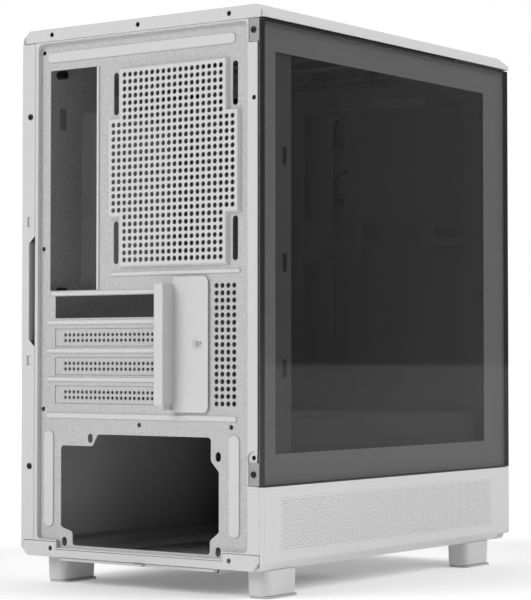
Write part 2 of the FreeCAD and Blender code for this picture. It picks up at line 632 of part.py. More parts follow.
FLOOR_VENT = (("psu_left + 2", "psu_left + psu_wide - 6"), ("9", "psu_depth - 8"))


def bottom_pan():
    def tub(inset, high):
        box = block((inset, FRAME_RIGHT + " - gap - " + inset), (inset, "front_wall + 2 * sheet - " + inset),
                    (inset, high))
        return chamfered(box, [((0, 1, 0), D.base_chamfer, D.base_chamfer),
                               ((2, 1, 0), D.base_chamfer, D.base_chamfer)])
    seams = [block((low, low + " + seam_wide"), REAR_SKIN, ("base_chamfer - 1", "base_height - 1.5"))
             for low in ("seam_in", FRAME_RIGHT + " - gap - seam_in - seam_wide")]
    tub_shape = cut(tub("0", "base_height"), tub("sheet", "base_height + 1"), *seams)
    notch = block((NOTCH_LEFT + " - sheet - gap / 2", NOTCH_RIGHT + " + sheet + gap / 2"),
                  ("-1", "sheet + 1"),
                  (NOTCH_LOW, "base_height + 1"))
    vent = block(*FLOOR_VENT, ("-1", "3"))
    holes = [rod(u, "-1", "6.1", "v", "screw_hole", "3") for u in ("28.2", FRAME_RIGHT + " - 25.7")]
    holes += [rod(u, v, "-1", "w", "screw_hole", "4") for u, v in FOOT_SCREWS]
    return cut(tub_shape, notch, vent, *holes)


FOOT_PLACES = (("foot_left", "foot_rear"), (FRAME_RIGHT + " - foot_from_glass", "foot_rear"),
               ("foot_left", "foot_front"), (FRAME_RIGHT + " - foot_from_glass", "foot_front"))
FOOT_SCREW_IN = "4"
FOOT_SCREWS = tuple((u + " - " + FOOT_SCREW_IN, v) for u, v in FOOT_PLACES)
FOOT_NAMES = ("foot_rear_right", "foot_rear_left", "foot_front_right", "foot_front_left")


def lower_side_panel():
    def shell(inset, inner):
        box = block((inner, "case_width - " + inset), (inset, "lower_panel_length - " + inset),
                    (inset, "glass_bottom - gap - " + inset))
        corner = D.base_chamfer
        return chamfered(box, [((2, 1, 0), corner, corner), ((2, 2, 1), 1.2, 1.2)])
    skin = cut(shell("0", FRAME_RIGHT + " - 3"), shell("sheet", FRAME_RIGHT + " - 4"))
    inside = (FRAME_RIGHT + " - 4", FRAME_RIGHT)
    inside_out = (FRAME_RIGHT, "case_width + 1")
    clear = block(inside, ("-1", "lower_panel_length + 1"), ("base_chamfer + 1", "glass_bottom"))
    rear_nick = block(inside, ("-1", "sheet + gap"), ("-1", "base_chamfer + 2"))
    front_nick = block((inside[0], "case_width - 2"), (FRONT_BACK + " - gap", "lower_panel_length + 1"),
                       ("-1", "glass_bottom - sheet - gap"))
    return cut(skin, clear, rear_nick, front_nick, block(inside_out, *MESH_FIELD))


MESH_FIELD = (("mesh_rear", "case_depth - mesh_front_in"), ("mesh_low", "mesh_high"))


def lower_side_mesh():
    """The panel's finely perforated field, in the plane of its skin."""
    return block(("case_width - sheet", "case_width"), *MESH_FIELD)


def glass_panel():
    return block((FRAME_RIGHT, "case_width"), ("0", "glass_length"), ("glass_bottom", GLASS_TOP))


def glass_border():
    """Printed border on the inside of the glass."""
    whole = block((FRAME_RIGHT + " - 0.2", FRAME_RIGHT), ("0.6", "glass_length - 0.6"),
                  ("glass_bottom + 0.6", GLASS_TOP + " - 0.6"))
    window = block((FRAME_RIGHT + " - 1", FRAME_RIGHT + " + 1"),
                   ("border_side", "glass_length - border_front"),
                   ("glass_bottom + border_bottom", GLASS_TOP + " - border_top"))
    return cut(whole, window)


def glass_frame():
    """Steel strip frame bonded behind the border, with two tabs for the rear screws."""
    face = ("%s - 1.4" % FRAME_RIGHT, "%s - 0.2" % FRAME_RIGHT)
    whole = block(face, ("1.6", "front_wall - 2"), ("glass_bottom + 1.5", GLASS_TOP + " - 1.5"))
    window = block((FRAME_RIGHT + " - 3", FRAME_RIGHT + " + 1"),
                   ("border_side - 4", "glass_length - border_front + 4"),
                   ("glass_bottom + border_bottom - 4", GLASS_TOP + " - border_top + 4"))
    ring = cut(whole, window)
    tabs = []
    for low, high in TAB_HEIGHTS:
        tabs.append(block((RECESS_RIGHT + " + 1.6", FRAME_RIGHT + " - 0.2"), ("0", "sheet"), (low, high)))
        tabs.append(block((FRAME_RIGHT + " - 1.4", FRAME_RIGHT + " - 0.2"), ("0", "8"), (low, high)))
    holes = [rod(FRAME_RIGHT + " - 4.8", "-3", TAB_SCREW % (low, high), "v", "screw_hole", "6")
             for low, high in TAB_HEIGHTS]
    return cut(fuse(ring, *tabs), *holes)


def right_side_panel():
    high = COVER_EDGE + " - gap"
    low = "base_height + gap"
    skin = block(("0", "sheet"), ("0", "glass_length"), (low, high))
    flange = block(("0", "side_flange"), ("0", "sheet"), (low, high))
    lips = [block(("0", "7"), ("0", "front_wall - 6"), (start, start + " + sheet"))
            for start in (low, high + " - sheet")]
    grip = block(("6", "6.8"), ("0", "7"), (GRIP_LOW + " + 4", GRIP_HIGH + " - 4"))
    window = chamfered(block(("6.8", "side_flange + 6"), ("-1", "sheet + 1"), (GRIP_LOW, GRIP_HIGH)),
                       [((0, 1, 0), 5.0, 5.0), ((0, 1, 2), 5.0, 5.0)])
    holes = [rod("8", "-3", w, "v", "screw_hole", "6") for w in PANEL_SCREWS]
    holes += [block(("5.2", "8.7"), ("-1", "2"), (w + " - 3.5", w + " + 3.5"))
              for w in (COVER_EDGE + " - 129.5", COVER_EDGE + " - 229.8")]
    return cut(fuse(cut(fuse(skin, flange, *lips), window), grip), *holes)


def captive_screws(u, heights):
    return group(*[screw(u, "-0.9", w, "v", 2.2, 0.9, 5.4) for w in heights])


def front_panel():
    """Moulded front: open grid of bars inside a frame, chamfered below."""
    def shell(inset, rear):
        box = block((INNER_LEFT + " + " + inset, INNER_RIGHT + " - " + inset),
                    (rear, "case_depth - " + inset),
                    ("0.2 + " + inset, COVER_EDGE + " - gap - " + inset))
        return chamfered(box, [((1, 2, 0), 6.0, 6.0)])
    skin = cut(shell("0", FRONT_BACK), shell("2", FRONT_BACK + " - 1"))
    field = rounded(("22", "case_width - 26"), (FRONT_BACK, "case_depth + 2"), ("34", "shell_height - 34"),
                    "v", 8.0)
    bosses = [rod(u, FRONT_BACK + " + 1", w, "v", "4", "case_depth - 2 - (%s) - 1" % FRONT_BACK)
              for u, w in STUD_PLACES]
    return fuse(cut(skin, field), *bosses)


STUD_PLACES = tuple((u, w) for u in ("12", INNER_RIGHT + " - 5.8") for w in ("30", "shell_height / 2",
                                                                             "shell_height - 42"))


def front_mesh():
    return block(("20", "case_width - 24"), ("case_depth - 3.6", "case_depth - 2"),
                 ("32", "shell_height - 32"))


def ball_studs():
    studs = []
    for u, w in STUD_PLACES:
        stem = rod(u, "front_wall - 3", w, "v", "1.5", "%s + 1 - (front_wall - 3)" % FRONT_BACK)
        ball = doc.addObject("Part::Sphere", "Ball")
        ball.Radius = 2.4
        studs.append(fuse(stem, place(ball, u, "front_wall - 3", w)))
    return group(*studs)


# ---------------------------------------------------------------- inside of the case
def motherboard_tray():
    face = ("tray_u", TRAY_FACE)
    reach = ("tray_u - 4", "tray_u + 4")
    sheet_metal = block(face, (PLATE_BACK, "front_wall"), ("shroud_top", CEILING))
    opening = rounded(reach, ("40", "172"), (IO_LOW + " + 2", IO_TOP + " - 25"), "u", 8.0)
    passages = [rounded(reach, ("262", "288"), (low, high), "u", 8.0)
                for low, high in (("shroud_top + 28", "shroud_top + 90"),
                                  ("shroud_top + 118", "shroud_top + 225"))]
    passages += [rounded(reach, (start, start + " + 44"), ("shroud_top + 4", "shroud_top + 14"), "u", 4.0)
                 for start in ("70", "150")]
    passages += [rounded(reach, (start, start + " + 34"), (IO_TOP + " - 9", IO_TOP + " + 3"), "u", 4.0)
                 for start in ("60", "130", "200")]
    passages.append(rounded(reach, ("16", "24"), (IO_TOP + " - 41.5", IO_TOP + " - 25.5"), "u", 2.0))
    return cut(sheet_metal, *passages, opening)


BOARD_REAR = "15.0"
BOARD_COLUMNS = ("0", "154.94", "227.33")
BOARD_ROWS = ("0", "157.48", "203.2")


def standoffs():
    posts = []
    for column in BOARD_COLUMNS:
        for line in BOARD_ROWS:
            v = "%s + %s" % (BOARD_REAR, column)
            w = "%s - 1.8 - %s" % (IO_TOP, line)
            post = rod(TRAY_FACE, v, w, "u", "standoff_radius", "standoff_tall")
            bore = rod(TRAY_FACE + " + 1", v, w, "u", "standoff_thread", "standoff_tall")
            posts.append(cut(post, bore))
    return group(*posts)


def front_frame():
    wall_v = ("front_wall", "front_wall + sheet")
    through = ("front_wall - 4", "front_wall + 4")
    wall = block((INNER_LEFT + " + 1", INNER_RIGHT + " - 1"), wall_v, ("base_height + 1", CEILING))
    flange = block((FRAME_RIGHT + " - 3.4", FRAME_RIGHT + " - 3.4 + sheet"),
                   ("front_wall - 12", "front_wall"),
                   ("base_height + 1.2", CEILING))
    side_flange = block((INNER_LEFT + " + 1", INNER_LEFT + " + 1 + sheet"), ("front_wall - 12", "front_wall"),
                        ("base_height + gap + sheet", CEILING))
    sill = block((INNER_LEFT + " + 9", INNER_RIGHT + " - 9"), wall_v, ("sheet", "base_height + 1"))
    shelf = block(PORT_SPAN, ("front_wall - 17", "front_wall"),
                  (BOARD_TOP + " - 1.6 - sheet", BOARD_TOP + " - 1.6"))
    tools = []
    for number in (0, 1):
        middle = "(front_fan_top - %d * front_fan_pitch)" % number
        tools.append(rounded(("front_fan_u - 60.2", "front_fan_u + 60.2"), through,
                             (middle + " - 45.3", middle + " + 45.3"), "v", 6.0))
        tools.append(rounded(("front_fan_u - 30.3", "front_fan_u + 30.3"), through,
                             (middle + " - 57.2", middle + " + 57.2"), "v", 6.0))
        for side in ("-", "+"):
            for level in ("-", "+"):
                tools.append(obround("front_fan_u %s fan_holes / 2" % side, through,
                                     "%s %s fan_holes / 2" % (middle, level), "u",
                                     "front_slot_long", "front_slot_wide"))
    for low, high in (("shroud_top + 20", "shroud_top + 120"), ("shroud_top + 158", "shroud_top + 250")):
        tools.append(rounded(("31.8", "50.4"), through, (low, high), "v", 4.0))
    tools += [obround(u, through, "shroud_top + 3.6", "u", "24", "5") for u in ("70", "174")]
    tools += [rod(FRAME_RIGHT + " - 11.5", "front_wall - 4", w, "v", "3", "8") for w in ("190.4",
                                                                                         COVER_EDGE
                                                                                         + " - 36.8")]
    tools += [rod(u, "front_wall - 4", w, "v", "2.7", "8") for u, w in STUD_PLACES]
    return cut(fuse(wall, flange, side_flange, sill, shelf), *tools)


def top_frame():
    ceiling = block((INNER_LEFT + " + 8.5", FRAME_RIGHT + " - 3.6"), (PLATE_BACK, "front_wall - 20"),
                    (CEILING, CEILING + " + sheet"))
    tabs = [block((u, u + " + 14"), (v, v + " + sheet"), (CEILING + " + sheet", "shell_height - sheet"))
            for u in ("20", "case_width - 40") for v in ("30", "front_wall - 22")]
    (u0, u1), (v0, v1) = TOP_VENT
    openings = [rounded((u0 + " + 4", u1 + " - 4"), (v0 + " + 4", "(%s + %s) / 2 - 6" % (v0, v1)),
                        (CEILING + " - 2", CEILING + " + 3"), "w", 10.0),
                rounded((u0 + " + 4", u1 + " - 4"), ("(%s + %s) / 2 + 6" % (v0, v1), v1 + " - 4"),
                        (CEILING + " - 2", CEILING + " + 3"), "w", 10.0)]
    return cut(fuse(ceiling, *tabs), *openings)


def psu_shroud():
    top = block((TRAY_FACE, SHROUD_U), (PLATE_BACK, "front_wall"), ("shroud_top - sheet", "shroud_top"))
    side = block((SHROUD_U + " - sheet", SHROUD_U), (PLATE_BACK, "front_wall"), ("sheet", "shroud_top"))
    lip = block(("tray_u", TRAY_FACE), (PLATE_BACK, "front_wall"), ("shroud_top - 8", "shroud_top"))
    vents = [rounded(("60", "case_width - 50"), (start, start + " + 7"),
                     ("shroud_top - 3", "shroud_top + 2"), "w", 3.0)
             for start in ("30", "46", "62", "78", "94", "110")]
    window = rounded((SHROUD_U + " - 3", SHROUD_U + " + 2"), ("60", "front_wall - 30"), ("20", "66"), "u",
                     6.0)
    return cut(fuse(top, side, lip), *vents, window)


CAGE_V = ("front_wall - 112", "front_wall - 4")
BAY_LOW = ("4.5", "48.5")


def drive_cage():
    walls = [block(("32", "190"), (start, start + " + sheet"), ("sheet", "94"))
             for start in ("%s" % CAGE_V[0], "%s - sheet" % CAGE_V[1])]
    shelf = block(("32", "190"), CAGE_V, ("sheet", "2 * sheet"))
    roof = block(("32", "190"), CAGE_V, ("94", "94 + sheet"))
    runners = []
    for low in BAY_LOW:
        for start, end in ((CAGE_V[0] + " + sheet", CAGE_V[0] + " + sheet + 2"),
                           (CAGE_V[1] + " - sheet - 2", CAGE_V[1] + " - sheet")):
            runners.append(block(("34", "186"), (start, end), (low + " - 2.3", low)))
    return fuse(*walls, shelf, roof, *runners)


def drive_tray(low):
    """Open tray for a drive: floor, two side rails and a handle on the cable side."""
    inner = (CAGE_V[0] + " + sheet + 0.4", CAGE_V[1] + " - sheet - 0.4")
    floor = block(("32", "184"), inner, (low, low + " + 2"))
    rails = [block(("32", "184"), (start, end), (low, low + " + 24"))
             for start, end in ((inner[0], inner[0] + " + 1.6"), (inner[1] + " - 1.6", inner[1]))]
    handle = block(("29", "32"), inner, (low, low + " + 28"))
    window = rounded(("60", "150"), (CAGE_V[0] + " + 24", CAGE_V[1] + " - 24"), (low + " - 2", low + " + 4"),
                      "w", 6.0)
    grip = rounded(("28", "33"), (CAGE_V[0] + " + 34", CAGE_V[1] + " - 34"), (low + " + 10", low + " + 20"),
                   "u", 4.0)
    return cut(fuse(floor, *rails, handle), window, grip)


def drive_bracket():
    """Flat bracket for a slim drive on the cable side of the tray."""
    face = block(("tray_u - 8", "tray_u - 7.2"), ("184", "258"), ("shroud_top + 100", "shroud_top + 208"))
    feet = [block(("tray_u - 8", "tray_u"), ("184", "190"), (low, low + " + 8"))
            for low in ("shroud_top + 104", "shroud_top + 196")]
    holes = [rod("tray_u - 10", v, w, "u", "1.7", "4") for v in ("190",
                                                                 "251.7") for w in ("shroud_top + 115",
                                                                                    "shroud_top + 191.6")]
    return cut(fuse(face, *feet), *holes)


def foot(u, v):
    half_wide = "foot_wide / 2"
    half_long = "foot_long / 2"
    wedge = doc.addObject("Part::Wedge", "FootBody")
    for side, size in (("Xmin", "0"), ("Zmin", "0"), ("Ymin", "0"), ("Ymax", "foot_height - foot_pad"),
                       ("Xmax", "foot_wide"), ("Zmax", "foot_long"),
                       ("X2min", "foot_taper"), ("Z2min", "foot_taper"),
                       ("X2max", "foot_wide - foot_taper"), ("Z2max", "foot_long - foot_taper")):
        wedge.setExpression(side, linked(size))
    wedge.Placement.Rotation = FreeCAD.Rotation(V(1, 0, 0), -90)
    place(wedge, "(%s) - %s" % (u, half_wide), "(%s) - %s" % (v, half_long), "0")
    fillet = doc.addObject("Part::Fillet", "FootRounded")
    fillet.Base = wedge
    doc.recompute()
    uprights = [number for number, edge in enumerate(wedge.Shape.Edges, start=1)
                if abs(edge.Vertexes[0].Point.z - edge.Vertexes[-1].Point.z) > 1]
    fillet.Edges = [(number, D.foot_round, D.foot_round) for number in uprights]
    bore = rod(u + " - " + FOOT_SCREW_IN, v, "-12", "w", "screw_hole - 0.3", "13")
    return cut(fillet, bore)


def foot_pads():
    inset = "foot_taper + 0.8"
    pads = [rounded(("%s - foot_wide / 2 + %s" % (u, inset), "%s + foot_wide / 2 - %s" % (u, inset)),
                    ("%s - foot_long / 2 + %s" % (v, inset), "%s + foot_long / 2 - %s" % (v, inset)),
                    ("-foot_height", "-foot_height + foot_pad"), "w", 4.5) for u, v in FOOT_PLACES]
    return group(*pads)


def foot_screws():
    return group(*[screw(u, v, "sheet + 1.8", "w", 2.9, 1.8, 11.0, forward=False) for u, v in FOOT_SCREWS])


FILTER_U = ("psu_left - 2", "psu_left + psu_wide - 2")


def filter_rails():
    rails = []
    for start, end, hook in ((FILTER_U[0] + " - 1.6", FILTER_U[0] + " - gap", FILTER_U[0] + " + 2"),
                             (FILTER_U[1] + " + gap", FILTER_U[1] + " + 1.6", FILTER_U[1] + " - 2")):
        rails.append(block((start, end), ("6", "psu_depth"), ("-3.4", "0")))
        inner = (start, hook) if hook.endswith("+ 2") else (hook, end)
        rails.append(block(inner, ("6", "psu_depth"), ("-3.4", "-2.6")))
    return group(fuse(*rails[:2]), fuse(*rails[2:]))


def psu_filter():
    frame = cut(block(FILTER_U, ("1", "psu_depth"), ("-2.3", "-0.4")),
                block((FILTER_U[0] + " + 6", FILTER_U[1] + " - 6"), ("9", "psu_depth - 8"), ("-4", "1")))
    tab = block(("case_width / 2 - 4", "case_width / 2 + 6"), ("-3", "1.5"), ("-1.9", "-0.5"))
    return fuse(frame, tab)


def psu_filter_mesh():
    return block((FILTER_U[0] + " + 6", FILTER_U[1] + " - 6"), ("9", "psu_depth - 8"), ("-1.7", "-1.2"))


def floor_vent():
    """The perforated field of the bottom pan under the power supply."""
    return block(*FLOOR_VENT, ("0", "sheet"))


def port_board():
    return block(PORT_SPAN, ("panel_v - 7", "panel_v + 7"), (BOARD_TOP + " - 1.6", BOARD_TOP))


def usb_ports():
    """Upright sockets: a metal shell round a tongue, for two flat and one small round-ended plug."""
    sockets = []
    top = "shell_height - sheet + 0.2"
    for u in USB_A:
        outer = block((u + " - 6.4", u + " + 6.4"), ("panel_v - 2.7", "panel_v + 2.7"), (BOARD_TOP, top))
        inner = block((u + " - 6", u + " + 6"), ("panel_v - 2.3", "panel_v + 2.3"),
                      (BOARD_TOP + " + 1", top + " + 1"))
        tongue = block((u + " - 5.4", u + " + 5.4"), ("panel_v + 0.2", "panel_v + 2"),
                       (BOARD_TOP + " + 0.5", top + " - 1.5"))
        sockets.append(fuse(cut(outer, inner), tongue))
    outer = rounded((USB_C + " - 4.5", USB_C + " + 4.5"), ("panel_v - 1.6", "panel_v + 1.6"),
                    (BOARD_TOP, top), "w", 1.5)
    inner = rounded((USB_C + " - 4.2", USB_C + " + 4.2"), ("panel_v - 1.3", "panel_v + 1.3"),
                    (BOARD_TOP + " + 1", top + " + 1"), "w", 1.2)
    tongue = block((USB_C + " - 3.3", USB_C + " + 3.3"), ("panel_v - 0.35", "panel_v + 0.35"),
                   (BOARD_TOP + " + 0.5", top + " - 1.5"))
    sockets.append(fuse(cut(outer, inner), tongue))
    return group(*sockets)


def audio_jack():
    body = rod(AUDIO, "panel_v", BOARD_TOP, "w", "3.0", "shell_height - sheet + 0.3 - (%s)" % BOARD_TOP)
    bore = rod(AUDIO, "panel_v", BOARD_TOP + " + 1", "w", "1.75", "20")
    return cut(body, bore)


def status_light():
    return rod("panel_u + 20.5", "panel_v", BOARD_TOP, "w", "0.95", "shell_height - (%s)" % BOARD_TOP)


def switch(name):
    """Small square switch under a button, with its round plunger."""
    u = CONTROLS[name][0]
    body = block((u + " - 3", u + " + 3"), ("panel_v - 3", "panel_v + 3"), (BOARD_TOP, BOARD_TOP + " + 3.2"))
    plunger = rod(u, "panel_v", BOARD_TOP + " + 3.2", "w", "1.5", "0.6")
    return fuse(body, plunger)


def button(name):
    """Round cap that stands over its switch; the skirt keeps it in its hole."""
    u, radius = CONTROLS[name]
    low = BOARD_TOP + " + 3.8 + button_travel + 0.3"
    cap = rod(u, "panel_v", low, "w", radius, "shell_height + button_rise - (%s)" % low)
    skirt = rod(u, "panel_v", "shell_height - sheet - 1.4", "w", radius + " + 1.2", "1.2")
    return fuse(cap, skirt)


def rivets():
    """Pop rivets where the ceiling, shroud and tray meet the frame."""
    heads = []
    for u in ("40", "case_width / 2", "case_width - 40"):
        for v in ("14", "front_wall - 26"):
            heads.append(rod(u, v, CEILING + " + sheet", "w", "2.8", "1.0"))
    for w in ("130", "240", "330"):
        heads.append(rod("tray_u - 1", "10", w, "u", "2.8", "1.0"))
    return group(*heads)


def cable_hook(u, w):
    """A hook of bent rod on the inside of the front, with a round foot on the mesh."""
    v = D.case_depth - 11
    start = V(u, v, w)
    bend = V(u, v, w + 11)
    top = V(u + 11, v, w + 22)
    middle = V(u + 11 - 11 * math.cos(math.pi / 4), v, w + 11 + 11 * math.sin(math.pi / 4))
    path = Part.Wire([Part.LineSegment(start, bend).toShape(), Part.Arc(bend, middle, top).toShape()])
    section = Part.Wire(Part.makeCircle(1.4, start, V(0, 0, 1)))
    hook = doc.addObject("Part::Feature", "Hook")
    hook.Shape = path.makePipeShell([section], True, False)
    place_shape(hook)
    stem = rod(u, v - 3, w - 2, "v", "3.4", D.case_depth - 3.6 - (v - 3))
    return fuse(hook, stem)


def cable_hooks():
    left = D.front_fan_u - 60.2 - 1.5
    return group(*[cable_hook(left, w) for w in ((D.shell_height - D.front_fan_drop) + 26,
                                                 (D.shell_height - D.front_fan_drop) - 21)])


# ---------------------------------------------------------------- the assembly
subpart("rear_panel", rear_panel())
subpart("fan_grille", fan_grille())
subpart("side_vent_grille", side_vent_grille())
for cover_number, cover_name in enumerate(("upper", "middle", "lower"), start=1):
    subpart("slot_cover_" + cover_name, slot_cover(cover_number))
subpart("slot_screws", slot_screws())
subpart("slot_bracket", slot_bracket())
subpart("slot_bracket_screw", slot_bracket_screw())
subpart("top_cover", top_cover())
subpart("top_filter", top_filter())
subpart("top_filter_mesh", top_filter_mesh())
subpart("bottom_pan", bottom_pan())
subpart("lower_side_panel", lower_side_panel())
subpart("lower_side_mesh", lower_side_mesh())
subpart("glass_panel", glass_panel())
subpart("glass_border", glass_border())
subpart("glass_frame", glass_frame())
subpart("glass_screws", captive_screws(FRAME_RIGHT + " - 4.8", [TAB_SCREW % span for span in TAB_HEIGHTS]))
subpart("right_side_panel", right_side_panel())
subpart("side_panel_screws", captive_screws("8", PANEL_SCREWS))
subpart("front_panel", front_panel())
subpart("front_mesh", front_mesh())
subpart("ball_studs", ball_studs())
subpart("motherboard_tray", motherboard_tray())
subpart("motherboard_standoffs", standoffs())
subpart("front_frame", front_frame())
subpart("top_frame", top_frame())
subpart("psu_shroud", psu_shroud())
subpart("drive_cage", drive_cage())
for tray_name, bay_low in zip(("lower", "upper"), BAY_LOW):
    subpart("drive_tray_" + tray_name, drive_tray(bay_low))
subpart("drive_bracket", drive_bracket())
for foot_name, (foot_u, foot_v) in zip(FOOT_NAMES, FOOT_PLACES):
    subpart(foot_name, foot(foot_u, foot_v))
subpart("foot_pads", foot_pads())
subpart("foot_screws", foot_screws())
subpart("filter_rails", filter_rails())
subpart("psu_filter", psu_filter())
subpart("psu_filter_mesh", psu_filter_mesh())
subpart("floor_vent", floor_vent())
subpart("port_board", port_board())
subpart("usb_ports", usb_ports())
subpart("audio_jack", audio_jack())
subpart("status_light", status_light())
for control in CONTROLS:
    subpart(control + "_switch", switch(control))
    subpart(control + "_button", button(control))
subpart("rivets", rivets())
subpart("cable_hooks", cable_hooks())

doc.recompute()
for thing in doc.Objects:
    faults = [state for state in thing.State if state in ("Invalid", "Error")]
    if faults:
        raise RuntimeError("%s (%s) did not build: %s" % (thing.Label, thing.Name, faults))
for thing in SUBPARTS:
    if thing.Shape.isNull() or not thing.Shape.isValid() or not thing.Shape.Solids:
        raise RuntimeError("%s has no valid solid" % thing.Label)

os.makedirs("parts", exist_ok=True)
for thing in SUBPARTS:
    thing.Shape.exportStep("parts/%s.step" % thing.Label)
    box = thing.Shape.BoundBox
    print("%-24s %2d solid(s)  x %7.1f %7.1f  y %7.1f %7.1f  z %6.1f %6.1f" % (
        thing.Label, len(thing.Shape.Solids), box.XMin, box.XMax, box.YMin, box.YMax, box.ZMin, box.ZMax))
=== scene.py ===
import json
import math

import bmesh
import bpy
from mathutils import Matrix, Vector


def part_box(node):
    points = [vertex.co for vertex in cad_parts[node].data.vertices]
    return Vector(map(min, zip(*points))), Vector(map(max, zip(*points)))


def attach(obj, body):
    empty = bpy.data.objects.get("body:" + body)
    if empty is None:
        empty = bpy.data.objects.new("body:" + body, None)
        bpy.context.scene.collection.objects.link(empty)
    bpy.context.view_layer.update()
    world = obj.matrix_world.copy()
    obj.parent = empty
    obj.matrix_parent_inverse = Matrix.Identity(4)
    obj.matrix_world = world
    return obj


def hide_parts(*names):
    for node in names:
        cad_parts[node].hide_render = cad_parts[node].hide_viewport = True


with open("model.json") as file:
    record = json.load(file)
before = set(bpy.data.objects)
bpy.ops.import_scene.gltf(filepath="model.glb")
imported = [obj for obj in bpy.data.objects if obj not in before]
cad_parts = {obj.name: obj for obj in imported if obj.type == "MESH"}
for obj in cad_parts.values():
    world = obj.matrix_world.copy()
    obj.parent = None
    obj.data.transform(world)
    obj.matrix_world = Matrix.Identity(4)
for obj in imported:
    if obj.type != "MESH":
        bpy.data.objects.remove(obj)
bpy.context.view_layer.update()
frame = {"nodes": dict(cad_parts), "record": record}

# The tower is measured in case coordinates, in millimetres: u from the right side panel to the glass,
# v from the rear frame plane to the front, w up from the underside of the case.
MM = 0.001
CORNER = Vector((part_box("right_side_panel")[0].x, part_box("glass_panel")[0].y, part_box("bottom_pan")[0].z))

# Wall of the sheets, how deep the rear plate lies behind its frame, and how far the beads stand out of it.
SHEET = 0.8
RECESS = 3.3
EMBOSS = 1.1


def at(u, v, w):
    """A place in case coordinates, as a point of the model in metres."""
    return CORNER + Vector((u, v, w)) * MM


def in_case(point):
    """A point of the model in metres, as a place in case coordinates."""
    return (point - CORNER) / MM


def case_box(node):
    """Low and high corner of a node, in case coordinates."""
    low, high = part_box(node)
    return in_case(low), in_case(high)


# ---------------------------------------------------------------- materials
# Noise values between which a finish goes from its dark to its light tone, and from glossy to dull.
TONE_BAND = (0.32, 0.68)
GLOSS_BAND = (0.3, 0.7)


def new_material(name):
    material = bpy.data.materials.new(name)
    material.use_nodes = True
    nodes = material.node_tree.nodes
    return material, nodes, material.node_tree.links, nodes["Principled BSDF"]


def object_noise(nodes, links, scale, detail=2.0, roughness=0.5):
    """Noise that sits still on the object, with a scale in waves per metre."""
    place = nodes.new("ShaderNodeTexCoord")
    noise = nodes.new("ShaderNodeTexNoise")
    noise.inputs["Scale"].default_value = scale
    noise.inputs["Detail"].default_value = detail
    noise.inputs["Roughness"].default_value = roughness
    links.new(place.outputs["Object"], noise.inputs["Vector"])
    return noise


def spread(nodes, links, source, low, high, to_low, to_high):
    """Maps a noise value onto a range."""
    ramp = nodes.new("ShaderNodeMapRange")
    ramp.inputs["From Min"].default_value = low
    ramp.inputs["From Max"].default_value = high
    ramp.inputs["To Min"].default_value = to_low
    ramp.inputs["To Max"].default_value = to_high
    links.new(source, ramp.inputs["Value"])
    return ramp.outputs["Result"]


def grey(value, warmth=0.0):
    return (value + warmth, value, value - warmth, 1.0)


def mottled(nodes, links, shader, noise, dark, light):
    """Colour that drifts between two tones with a noise."""
    blend = nodes.new("ShaderNodeMix")
    blend.data_type = "RGBA"
    blend.inputs["A"].default_value = dark
    blend.inputs["B"].default_value = light
    links.new(spread(nodes, links, noise.outputs["Fac"], *TONE_BAND, 0.0, 1.0), blend.inputs["Factor"])
    links.new(blend.outputs["Result"], shader.inputs["Base Color"])


def bumped(nodes, links, shader, height, strength, distance):
    bump = nodes.new("ShaderNodeBump")
    bump.inputs["Strength"].default_value = strength
    bump.inputs["Distance"].default_value = distance
    links.new(height, bump.inputs["Height"])
    links.new(bump.outputs["Normal"], shader.inputs["Normal"])


def surface(name, dark, light, rough, grain, strength, depth, metal=0.0):
    """A finish with a grain in its colour, its gloss and its relief."""
    material, nodes, links, shader = new_material(name)
    noise = object_noise(nodes, links, grain, detail=3.0, roughness=0.6)
    mottled(nodes, links, shader, noise, dark, light)
    links.new(spread(nodes, links, noise.outputs["Fac"], *GLOSS_BAND, *rough), shader.inputs["Roughness"])
    bumped(nodes, links, shader, noise.outputs["Fac"], strength, depth)
    shader.inputs["Metallic"].default_value = metal
    return material


def recess_shade_coat():
    """Grainy white powder coat of the sheets on the sunk rear plate, coloured darker than the panel paint as
    painted shade of the recess.
    """
    return surface("recess_shade_coat", dark=grey(0.40), light=grey(0.60), rough=(0.55, 0.78),
                   grain=1300, strength=0.5, depth=0.0003)


def inner_shade_coat():
    """The white sheets inside the case coloured darker than the outside: painted shade of the inside of the
    case.
    """
    return surface("inner_shade_coat", dark=grey(0.20), light=grey(0.36), rough=(0.55, 0.78),
                   grain=1200, strength=0.5, depth=0.0003)


def panel_coat():
    """Smoother white coat of the outer panels."""
    return surface("panel_coat", dark=grey(0.60), light=grey(0.64), rough=(0.42, 0.52),
                   grain=1700, strength=0.12, depth=0.00012)


def white_moulding():
    return surface("white_moulding", dark=grey(0.50), light=grey(0.62), rough=(0.38, 0.5),
                   grain=1500, strength=0.2, depth=0.00015)


def black_moulding():
    return surface("black_moulding", dark=grey(0.016), light=grey(0.026), rough=(0.4, 0.55),
                   grain=2200, strength=0.2, depth=0.0001)


def black_oxide():
    return surface("black_oxide", dark=grey(0.02), light=grey(0.035), rough=(0.25, 0.4),
                   grain=3000, strength=0.1, depth=0.00005, metal=0.6)


def zinc():
    return surface("zinc", dark=grey(0.52), light=grey(0.66, 0.01), rough=(0.22, 0.38),
                   grain=2500, strength=0.1, depth=0.00005, metal=1.0)


def nickel():
    return surface("nickel", dark=grey(0.62), light=grey(0.7), rough=(0.15, 0.28),
                   grain=2500, strength=0.05, depth=0.00004, metal=1.0)


def pad_rubber():
    return surface("pad_rubber", dark=grey(0.42), light=grey(0.48), rough=(0.75, 0.9),
                   grain=1800, strength=0.3, depth=0.0002)


def tab_shade_grey():
    """The white glass frame and its screw tabs coloured dull grey: painted shade of the pockets they sit in.
    """
    return surface("tab_shade_grey", dark=grey(0.30), light=grey(0.36), rough=(0.5, 0.62),
                   grain=1300, strength=0.2, depth=0.0001)


def nylon():
    return surface("nylon", dark=grey(0.05), light=grey(0.075), rough=(0.5, 0.65),
                   grain=2500, strength=0.1, depth=0.00005)


